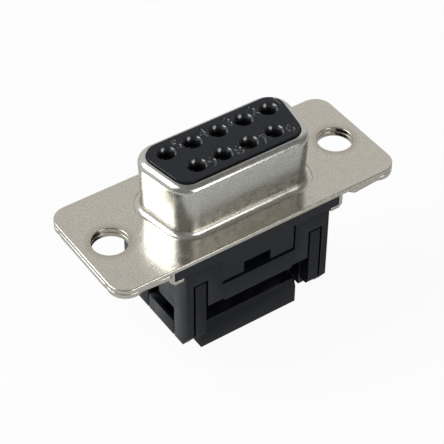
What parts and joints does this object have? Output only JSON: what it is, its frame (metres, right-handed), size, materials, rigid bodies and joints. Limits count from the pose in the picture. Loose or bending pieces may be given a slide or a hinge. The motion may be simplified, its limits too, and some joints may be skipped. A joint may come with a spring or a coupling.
{
  "type": "d-sub connector",
  "caption": "Straight D-subminiature socket connector for flat ribbon cable, with a drawn steel D shroud, a flange with two mounting holes and a press-on ribbon cover.",
  "frame": {"origin": "front face of the flange, midway between the two mounting holes", "axes": "+Z is the mating direction, +X runs along the flange towards socket 1, +Y points to the row of five sockets"},
  "size_m": [0.0308, 0.0126, 0.0206],
  "materials": {
    "shell_steel": "satin tin plate on steel",
    "insulator_plastic": "moulded black, lightly satin",
    "base_plastic": "moulded black, matt",
    "contact_metal": "plated"
  },
  "bodies": {
    "connector": {"front_shell": "shell_steel", "left_bracket": "shell_steel", "right_bracket": "shell_steel", "socket_insulator": "insulator_plastic", "idc_base": "base_plastic", "contact_1": "contact_metal", "contact_2": "contact_metal", "contact_3": "contact_metal", "contact_4": "contact_metal", "contact_5": "contact_metal", "contact_6": "contact_metal", "contact_7": "contact_metal", "contact_8": "contact_metal", "contact_9": "contact_metal"},
    "cover": {"ribbon_cover": "base_plastic"}
  },
  "joints": [
    {"name": "cover_press", "type": "slide", "parent": "connector", "child": "cover", "axis": [0, 0, 1], "range_m": [0, 0.0017]}
  ]
}
